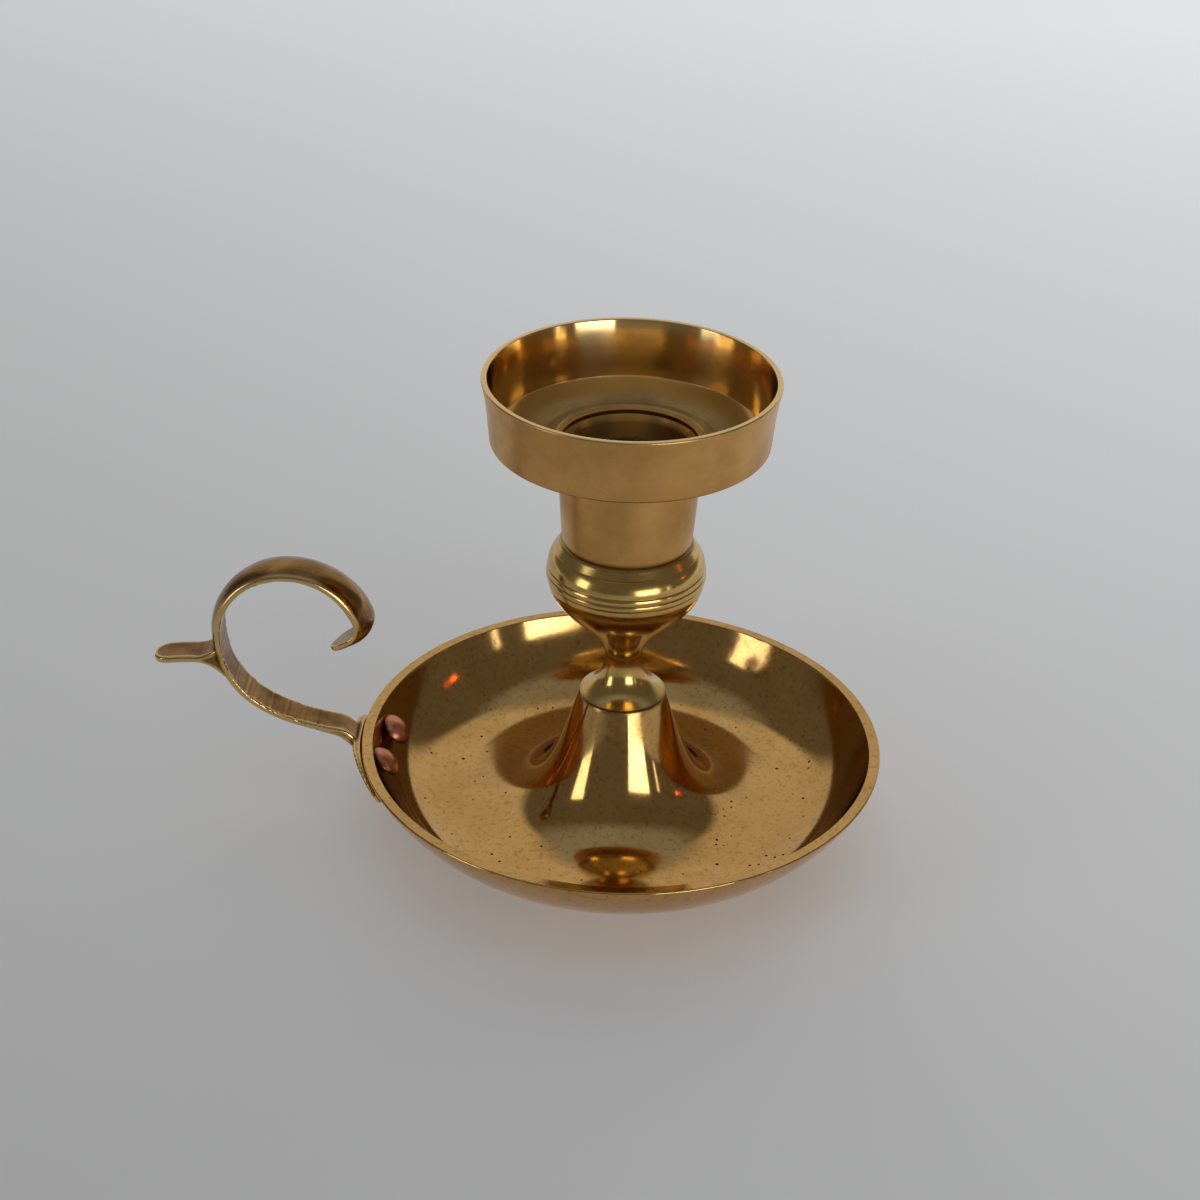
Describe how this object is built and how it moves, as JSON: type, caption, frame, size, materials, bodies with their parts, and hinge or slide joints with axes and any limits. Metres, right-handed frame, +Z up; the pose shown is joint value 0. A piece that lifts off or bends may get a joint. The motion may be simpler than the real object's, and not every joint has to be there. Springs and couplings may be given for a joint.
{
  "type": "brass chamberstick",
  "caption": "Brass chamberstick: a round dish with a riveted scroll handle carries a turned column, a candle socket and a wide drip cup",
  "frame": {"origin": "centre of the dish's flat foot, on the plane that the chamberstick stands on", "axes": "+Z up along the column; the handle lies along -X, in the XZ plane"},
  "size_m": [0.1238, 0.089, 0.0839],
  "materials": {
    "brass_polished": "polished, lightly tarnished",
    "brass_satin": "fine turned satin",
    "brass_cast": "hand polished, dark in the recesses",
    "copper": "polished"
  },
  "bodies": {
    "root": {"dish": "brass_polished", "pedestal": "brass_polished", "stem": "brass_polished", "candle_socket": "brass_satin", "cup": "brass_satin", "tie_bolt": "brass_polished", "socket_screw": "brass_polished", "handle": "brass_cast", "rivet_front": "copper", "rivet_rear": "copper"}
  },
  "joints": []
}
